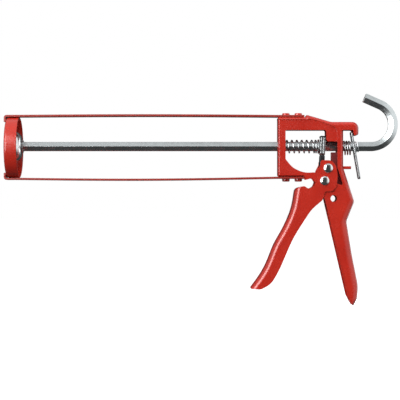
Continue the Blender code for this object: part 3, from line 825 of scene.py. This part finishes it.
def make_pins():
    """Both rivets, with the spacer on the fixed one and the roller on the trigger's."""
    reach = TRIGGER_HALF_WIDTH + PIN_SEAT
    pivot = to_object("pivot_rivet_chrome", double_rivet(PIVOT, reach))
    keep(pivot, CHROME, "frame", "chrome", "trigger_pivot_rivet")
    pin = to_object("drive_rivet_chrome", double_rivet(DRIVE_PIN, reach))
    keep(pin, CHROME, "trigger", "chrome", "drive_rivet")
    inside = HOUSING_HALF_WIDTH - SHEET - GAP
    spacer = to_object("pivot_spacer_tube", turned(sleeve(inside, SPACER_RADIUS), 48, "Y", PIVOT))
    keep(spacer, PLATE_ZINC, "frame", "zinc_steel", "pivot_spacer")
    inside = TRIGGER_HALF_WIDTH - TRIGGER_SHEET - GAP
    roller = to_object("drive_roller_tube", turned(sleeve(inside, ROLLER_RADIUS), 48, "Y", DRIVE_PIN))
    keep(roller, PLATE_ZINC, "trigger", "zinc_steel", "drive_roller")


def make_trigger():
    """Finger lever: a channel with its fold in front and its head outside the side plates."""
    outside = pressed_solid(TRIGGER_CORNERS, TRIGGER_HALF_WIDTH, TRIGGER_FOLD)
    lever = to_object("trigger_lever", outside)
    inner_width, inner_fold = TRIGGER_HALF_WIDTH - TRIGGER_SHEET, TRIGGER_FOLD - TRIGGER_SHEET
    inside = pressed_solid(TRIGGER_CORNERS, inner_width, inner_fold, TRIGGER_SHEET, OPEN_EDGE)
    through = TRIGGER_HALF_WIDTH + CUTTER_REACH
    tools = [(inside, "DIFFERENCE")]
    for centre in (PIVOT, DRIVE_PIN):
        tools.append((rod_through(centre, PIN_RADIUS + GAP, "Y", 40, through), "DIFFERENCE"))
    keep(carve(lever, tools), RED, "trigger", "red_paint", "trigger")


# ---------------------------------------------------------------- drive and release

def tilted(bm, tilt_deg, centre):
    bmesh.ops.rotate(bm, verts=bm.verts, matrix=Matrix.Rotation(math.radians(tilt_deg), 3, "Y"))
    bmesh.ops.translate(bm, verts=bm.verts, vec=centre)
    return bm


def steel_plate(centre, tilt_deg, thickness, top, bottom, taper=0.0, edge=0.3):
    """Flat plate across the rod, tilted about Y, with rounded corners and dulled rims."""
    half = PLATE_HALF_WIDTH
    corners = (
        (-half, top, 2.0),
        (half, top, 2.0),
        (half - taper, bottom, 2.0),
        (-half + taper, bottom, 2.0),
    )
    plate = slab(corners, -thickness / 2, thickness / 2, edge, lambda p, q, height: (height, p, q))
    return tilted(plate, tilt_deg, centre)


def hex_hole(centre, tilt_deg, play, half_length):
    radius = (ROD_FLATS + play) / math.sqrt(3)
    return tilted(rod_through((0, 0, 0), radius, "X", 6, half_length), tilt_deg, centre)


def make_drive():
    """Two grip plates, the pawl, a dark bar on their tops, and the washer that the main spring presses."""
    spacing = DRIVE_PLATE_THICKNESS + GAP
    for word, offset in (("front", -spacing / 2), ("rear", spacing / 2)):
        centre = DRIVE_CENTRE + Vector((offset, 0, 0))
        bottom = PAWL_TOP + GAP
        bm = steel_plate(centre, DRIVE_TILT, DRIVE_PLATE_THICKNESS, DRIVE_PLATE_TOP, bottom)
        plate = to_object(word + "_grip_plate", bm)
        carve(plate, [(hex_hole(centre, DRIVE_TILT, DRIVE_PLAY, half_length=1.4), "DIFFERENCE")])
        keep(plate, PLATE_ZINC, "drive", "zinc_steel", word + "_drive_plate")
    lean = Matrix.Rotation(math.radians(DRIVE_TILT), 3, "Y")
    middle = DRIVE_CENTRE + lean @ Vector((0, 0, (PAWL_TOP + PAWL_BOTTOM) / 2))
    reach = (PAWL_TOP - PAWL_BOTTOM) / 2
    bm = steel_plate(middle, DRIVE_TILT, PAWL_THICKNESS, reach, -reach, PAWL_TAPER, edge=0.4)
    pawl = to_object("drive_pawl_bar", bm)
    keep(pawl, BLACKENED, "drive", "black_steel", "drive_pawl")
    # A dark bar laid over the grip plates' tops, only to darken them there: no CAD part stands for it.
    top = DRIVE_CENTRE + lean @ Vector((0, 0, CAP_MIDDLE))
    bm = steel_plate(top, DRIVE_TILT, CAP_THICKNESS, CAP_HALF_HEIGHT, -CAP_HALF_HEIGHT, edge=0.35)
    cap = to_object("grip_plate_dark_top_bar", bm)
    keep(cap, BLACKENED, "drive", "black_steel")
    hole = ROD_CORNER + GAP
    near = SPRING_END + GAP
    far = near + WASHER_THICKNESS
    washer = ((near, hole), (far, hole), (far, WASHER_RADIUS), (near, WASHER_RADIUS))
    disc = to_object("spring_seat_washer", turned(rounded_profile(washer, 0.25), 64))
    keep(disc, PLATE_ZINC, "drive", "zinc_steel", "spring_washer")


def make_release():
    """Thumb plate that grips the rod by its tilt, and the wire clip that holds it to the rod."""
    lean = math.radians(RELEASE_TILT)
    middle = Vector((RELEASE_PIVOT.x + RELEASE_PIVOT.z * math.tan(lean), 0.0, 0.0))
    top = RELEASE_PIVOT.z / math.cos(lean)
    bottom = top - RELEASE_LENGTH
    bm = steel_plate(middle, -RELEASE_TILT, RELEASE_THICKNESS, top, bottom, taper=0.8, edge=0.4)
    plate = to_object("release_thumb_plate", bm)
    carve(plate, [(hex_hole(middle, -RELEASE_TILT, RELEASE_PLAY, half_length=3.0), "DIFFERENCE")])
    keep(plate, PLATE_ZINC, "release", "zinc_steel", "release_plate")
    clip = wire_along("release_wire_clip", clip_path(), CLIP_WIRE)
    turn = Matrix.Rotation(math.radians(-RELEASE_TILT), 4, "Y")
    place = Matrix.Translation(ORIGIN + middle * MM) @ turn @ Matrix.Translation(-ORIGIN)
    clip.data.transform(place)
    keep(clip, SPRING_STEEL, "release", "spring_steel")


# ---------------------------------------------------------------- springs and rod

def swept(name, sections, flows):
    """A loft through loops of points, with the flow attribute that its finish follows."""
    bm = loft(sections)
    layer = bm.verts.layers.float_vector.new("flow")
    bm.verts.ensure_lookup_table()
    flat = [value for ring in flows for value in ring]
    for vert, value in zip(bm.verts, flat):
        vert[layer] = value
    return to_object(name, bm)


def wire_along(name, path, radius):
    """A round wire along a line of points, its section carried along without twisting."""
    sides = 12
    ways = [(path[min(i + 1, len(path) - 1)] - path[max(i - 1, 0)]).normalized() for i in range(len(path))]
    across = ways[0].orthogonal().normalized()
    sections, flows = [], []
    along, before = 0.0, path[0]
    for i, (point, way) in enumerate(zip(path, ways)):
        if i:
            across = ways[i - 1].rotation_difference(way) @ across
        beside = way.cross(across)
        along += (point - before).length
        before = point
        section, flow = [], []
        for k in range(sides):
            angle = 2 * math.pi * k / sides
            section.append(point + (across * math.cos(angle) + beside * math.sin(angle)) * radius)
            flow.append((along * MM, radius * math.cos(angle) * MM, radius * math.sin(angle) * MM))
        sections.append(section)
        flows.append(flow)
    return swept(name, sections, flows)


def clip_path():
    """The clip's wire: down the near side of the rod, under it, up the far side, and back behind."""
    half, turn = CLIP_HALF_WIDTH, CLIP_PITCH / 2
    under_steps, bend_steps = 24, 12
    under = [Vector((CLIP_FRONT, -half, CLIP_TOP))]
    for k in range(under_steps + 1):
        angle = math.pi * k / under_steps
        height = CLIP_SHOULDER - CLIP_DEPTH * math.sin(angle)
        under.append(Vector((CLIP_FRONT, -half * math.cos(angle), height)))
    under.append(Vector((CLIP_FRONT, half, CLIP_TOP)))
    bend = []
    for k in range(1, bend_steps):
        angle = math.pi * k / bend_steps
        behind = CLIP_FRONT + turn * (1 - math.cos(angle))
        bend.append(Vector((behind, half, CLIP_TOP + turn * math.sin(angle))))
    back = [point + Vector((CLIP_PITCH, 0, 0)) for point in reversed(under)]
    return under + bend + back


def coil(name, start, end, radius, wire, turns, dead_turns):
    """A compression spring along X: an even helix with closed turns at each end, its ends rounded."""
    per_turn = 44
    sides = 12
    taper_steps, taper_reach = 3, 0.8
    steps = round((turns + 2 * dead_turns) * per_turn)
    closed_play = 1.06
    closed = 2 * wire * closed_play
    sections, flows = [], []
    for k in range(-taper_steps, steps + taper_steps + 1):
        turn = min(max(k, 0), steps) / per_turn
        live = min(max(turn - dead_turns, 0.0), turns)
        after = max(turn - dead_turns - turns, 0.0)
        first = min(turn, dead_turns) * closed
        middle = (end - start - 2 * wire - 2 * dead_turns * closed) * live / turns
        x = start + wire + first + middle + after * closed
        past = max(-k, k - steps, 0) / taper_steps
        thin = wire * math.sqrt(max(1.0 - past**2, 0.01))
        angle = 2 * math.pi * turn + math.copysign(past, k) * taper_reach * wire / radius
        out = Vector((0.0, math.cos(angle), math.sin(angle)))
        section, flow = [], []
        for s in range(sides):
            a = 2 * math.pi * s / sides
            section.append(Vector((x + thin * math.cos(a), 0, 0)) + out * (radius + thin * math.sin(a)))
            flow.append((turn * radius * 2 * math.pi * MM, wire * math.cos(a) * MM, wire * math.sin(a) * MM))
        sections.append(section)
        flows.append(flow)
    return swept(name, sections, flows)


def make_springs():
    """The main spring in front of the drive's washer, and the small one between the spine and the release
    plate.
    """
    main = coil("main_spring_coil", SPRING_START, SPRING_END, SPRING_RADIUS, SPRING_WIRE, *SPRING_TURNS)
    keep(main, SPRING_STEEL, "frame", "spring_steel", "main_spring")
    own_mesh(main)
    start, end = SPINE_X + GAP, RELEASE_SPRING_END
    turns = RELEASE_SPRING_TURNS
    small = coil("release_spring_coil", start, end, RELEASE_SPRING_RADIUS, SPRING_WIRE, *turns)
    small.data.transform(Matrix.Translation((0, 0, -RELEASE_SPRING_DROP * MM)))
    keep(small, SPRING_STEEL, "frame", "spring_steel", "release_spring")
    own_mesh(small)


def hexagon(scale):
    """Corners of the rod's section, across and up, with each edge rounded by four points."""
    corner = ROD_CORNER * scale
    near = ROD_EDGE / 4
    points = []
    for k in range(6):
        angle = math.pi / 3 * k
        tip = Vector((math.cos(angle), math.sin(angle))) * corner
        for turn, back in ((-1, ROD_EDGE), (-1, near), (1, near), (1, ROD_EDGE)):
            way = angle + turn * math.pi * 2 / 3
            points.append(tip + Vector((math.cos(way), math.sin(way))) * back)
    return points


def rod_path():
    """The rod's line as (centre, heading) from its front end, straight, round the hook and its tail."""
    straight_steps, hook_steps, tail_steps = 40, 52, 4
    path = []
    for k in range(straight_steps):
        path.append((Vector((ROD_FRONT + (HOOK_START - ROD_FRONT) * k / straight_steps, 0, 0)), 0.0))
    for k in range(hook_steps + 1):
        heading = math.radians(HOOK_TURN) * k / hook_steps
        place = Vector((math.sin(heading), 0, 1 - math.cos(heading))) * HOOK_RADIUS
        path.append((Vector((HOOK_START, 0, 0)) + place, heading))
    heading = math.radians(HOOK_TURN)
    last = path[-1][0]
    ahead = Vector((math.cos(heading), 0, math.sin(heading)))
    path += [(last + ahead * HOOK_TAIL * k / tail_steps, heading) for k in range(1, tail_steps + 1)]
    return path


def make_rod():
    """Hexagonal push rod with its rear end bent up into the hook and both ends chamfered."""
    path = rod_path()
    start, heading = path[0]
    chamfer, share = ROD_FRONT_CHAMFER
    rings = [(start, heading, share), (start + Vector((chamfer, 0, 0)), heading, 1.0)]
    rings += [(centre, heading, 1.0) for centre, heading in path[1:-1]]
    end, heading = path[-1]
    chamfer, share = ROD_REAR_CHAMFER
    back = Vector((math.cos(heading), 0, math.sin(heading))) * chamfer
    rings += [(end - back, heading, 1.0), (end, heading, share)]
    sections, flows = [], []
    along, before = 0.0, start
    for centre, heading, scale in rings:
        along += (centre - before).length
        before = centre
        up = Vector((-math.sin(heading), 0.0, math.cos(heading)))
        section, flow = [], []
        for across, rise in hexagon(scale):
            section.append(centre + Vector((0, across, 0)) + up * rise)
            flow.append((along * MM, across * MM, rise * MM))
        sections.append(section)
        flows.append(flow)
    rod = swept("push_rod_hooked", sections, flows)
    keep(rod, ROD_ZINC, "rod", "zinc_steel", "push_rod")


def make_push_plate():
    """Disc on the rod's front end, domed towards the rear, with its collar and its nut."""
    hole = ROD_CORNER + GAP
    back, front = [(DOME_REAR, hole)], [(DOME_REAR - PUSH_SHEET, hole)]
    flat = 1.5
    for angle in quarter_turn(18)[1:]:
        away, drop = math.sin(angle), 1.0 - math.cos(angle)
        reach = hole + flat + (DOME_RADIUS - hole - flat) * away
        back.append((DOME_REAR - (DOME_DEPTH - PUSH_SHEET) * drop, reach))
        front.append((DOME_REAR - PUSH_SHEET - (DOME_DEPTH - PUSH_SHEET) * drop, reach - PUSH_SHEET))
    face = DOME_REAR - DOME_DEPTH
    rim = [
        (face + PUSH_SHEET + 0.25, DOME_RADIUS + 0.3),
        (face + PUSH_SHEET, DOME_RADIUS + 1.2),
        (face + PUSH_SHEET, PUSH_PLATE_RADIUS - 0.5),
        (face + PUSH_SHEET - 0.15, PUSH_PLATE_RADIUS - 0.15),
        (face + PUSH_SHEET / 2, PUSH_PLATE_RADIUS),
        (face + 0.15, PUSH_PLATE_RADIUS - 0.15),
        (face, PUSH_PLATE_RADIUS - 0.5),
        (face, DOME_RADIUS),
    ]
    dish = to_object("push_plate_dish", turned(back[:-1] + rim + front[-2::-1], 112))
    keep(dish, DISH_ZINC, "rod", "zinc_steel", "push_plate")
    seat, rear = (DOME_REAR + reach for reach in COLLAR_SPAN)
    square = ((seat, hole), (rear, hole), (rear, COLLAR_RADIUS), (seat, COLLAR_RADIUS))
    collar = to_object("rod_stop_collar", turned(rounded_profile(square, 0.3), 64))
    keep(collar, PLATE_ZINC, "rod", "zinc_steel", "rod_collar")
    seat = DOME_REAR - PUSH_SHEET - 2 * GAP
    front = seat - NUT_HEIGHT
    nut = (
        (front, hole),
        (seat, hole),
        (seat, NUT_RADIUS),
        (front + 0.5, NUT_RADIUS),
        (front, NUT_RADIUS - 0.7),
    )
    keep(to_object("rod_end_nut", turned(nut, 6)), PLATE_ZINC, "rod", "zinc_steel", "rod_nut")


# ---------------------------------------------------------------- studio

VIEW_WIDTH = 0.352
VIEW_DISTANCE = 1.28
SENSOR = 36.0
AIM = ORIGIN + Vector((-68.0, 0.0, -47.0)) * MM
FLOOR_RADIUS = 14.0
FLOOR_DROP = 0.11
FLOOR_GLOW = 0.85
# What reflections see of the world, each as two places along an axis and the value at each:
# a glow high up, and one at both sides that fades below and beyond the gun.
GLOW_ABOVE = (0.55, 0.84, 0.06, 0.90)
GLOW_ASIDE = (0.40, 0.72, 0.0, 1.25)
FADE_BELOW = (-0.60, -0.15, 0.0, 1.0)
FADE_BEYOND = (0.0, 0.6, 1.0, 0.10)
# What surfaces are lit by: a share of that, and an even fill
SURFACE_SHARE = 0.12
SURFACE_FILL = 0.22


def make_camera():
    data = bpy.data.cameras.new("camera")
    data.sensor_width = SENSOR
    data.lens = SENSOR * VIEW_DISTANCE / VIEW_WIDTH
    camera = bpy.data.objects.new("camera", data)
    camera.location = AIM - Vector((0, VIEW_DISTANCE, 0))
    camera.rotation_euler = (math.pi / 2, 0, 0)
    bpy.context.scene.collection.objects.link(camera)
    bpy.context.scene.camera = camera


def softbox(name, offset, size, power, reflects):
    """A rectangular light that faces the gun, offset from it in metres.

    Those that reflect give the long highlights alone, and the others light the surfaces evenly.
    """
    data = bpy.data.lights.new(name, "AREA")
    data.shape = "RECTANGLE"
    data.size, data.size_y = size
    data.energy = power
    light = bpy.data.objects.new(name, data)
    light.location = AIM + Vector(offset)
    light.rotation_euler = (-Vector(offset)).to_track_quat("-Z", "Y").to_euler()
    light.visible_glossy = reflects
    light.visible_diffuse = not reflects
    bpy.context.scene.collection.objects.link(light)


def make_floor():
    """A wide pale floor below the gun, which is shown held up, as it cannot stand.

    It glows white to the camera alone: nothing reflects it or takes light from it.
    """
    bm = bmesh.new()
    bmesh.ops.create_circle(bm, cap_ends=True, segments=96, radius=FLOOR_RADIUS)
    mesh = bpy.data.meshes.new("floor")
    bm.to_mesh(mesh)
    bm.free()
    floor = bpy.data.objects.new("floor", mesh)
    floor.location = (0.0, 0.0, CAD_BOX[0].z - FLOOR_DROP)
    bpy.context.scene.collection.objects.link(floor)
    finish = Finish("studio_floor")
    cloud = finish.noise(finish.place, 3.0, 4.0)
    base = finish.mixed(cloud, (0.93, 0.93, 0.93), (0.90, 0.90, 0.90))
    finish.feed(finish.shader.inputs["Base Color"], base)
    finish.feed(finish.shader.inputs["Roughness"], finish.spread(cloud, 0.3, 0.7, 0.75, 0.9))
    finish.fixed(Emission_Color=(1.0, 1.0, 1.0, 1.0), Emission_Strength=FLOOR_GLOW)
    mesh.materials.append(finish.material)
    floor.visible_glossy = False
    floor.visible_diffuse = False


def make_world():
    """White for the camera, an even fill for surfaces, and glows above and aside for reflections."""
    world = bpy.data.worlds.new("studio")
    bpy.context.scene.world = world
    world.use_nodes = True
    nodes = Nodes(world.node_tree)
    nodes.tree.nodes.clear()
    way = nodes.add("ShaderNodeSeparateXYZ")
    nodes.feed(way.inputs[0], nodes.add("ShaderNodeTexCoord").outputs["Generated"])
    above = nodes.spread(way.outputs["Z"], *GLOW_ABOVE)
    aside = nodes.spread(nodes.maths("ABSOLUTE", way.outputs["X"]), *GLOW_ASIDE)
    below = nodes.spread(way.outputs["Z"], *FADE_BELOW)
    beyond = nodes.spread(way.outputs["Y"], *FADE_BEYOND)
    rays = nodes.add("ShaderNodeLightPath")
    sides = nodes.maths("MULTIPLY", aside, nodes.maths("MULTIPLY", below, beyond))
    mirrored = nodes.maths("ADD", above, sides)
    share = nodes.spread(rays.outputs["Is Diffuse Ray"], 0.0, 1.0, 1.0, SURFACE_SHARE)
    fill = nodes.spread(rays.outputs["Is Diffuse Ray"], 0.0, 1.0, 0.0, SURFACE_FILL)
    glow = nodes.maths("ADD", nodes.maths("MULTIPLY", mirrored, share), fill)
    studio, white = nodes.add("ShaderNodeBackground"), nodes.add("ShaderNodeBackground")
    nodes.feed(studio.inputs["Strength"], glow)
    nodes.feed(white.inputs["Strength"], 1.0)
    nodes.feed(white.inputs["Color"], (1.0, 1.0, 1.0, 1.0))
    mix, out = nodes.add("ShaderNodeMixShader"), nodes.add("ShaderNodeOutputWorld")
    nodes.feed(mix.inputs["Fac"], rays.outputs["Is Camera Ray"])
    nodes.feed(mix.inputs[1], studio.outputs[0])
    nodes.feed(mix.inputs[2], white.outputs[0])
    nodes.feed(out.inputs["Surface"], mix.outputs[0])


def make_studio():
    make_camera()
    make_world()
    make_floor()
    softbox("left_strip", (-0.80, -1.05, 0.35), (0.75, 1.4), 26.0, True)
    softbox("right_strip", (1.05, 0.50, 0.15), (0.70, 1.2), 4.0, True)
    softbox("front_fill", (-0.35, -1.55, 0.75), (1.2, 0.9), 25.0, False)
    softbox("rear_fill", (0.35, 1.55, 0.75), (1.2, 0.9), 20.0, False)
    softbox("overhead", (0.0, -0.25, 1.3), (1.6, 0.9), 6.0, False)
    bpy.context.scene.view_settings.view_transform = "Standard"


def main():
    make_ring()
    for word, side in (("upper", 1), ("lower", -1)):
        make_strap(word, side)
        for end, x in zip(("front", "rear"), STRAP_RIVETS):
            make_strap_rivet(word, end, x, side)
    make_housing()
    make_rib()
    make_pins()
    make_trigger()
    make_drive()
    make_release()
    make_springs()
    make_rod()
    make_push_plate()
    make_studio()


main()
bpy.context.view_layer.update()
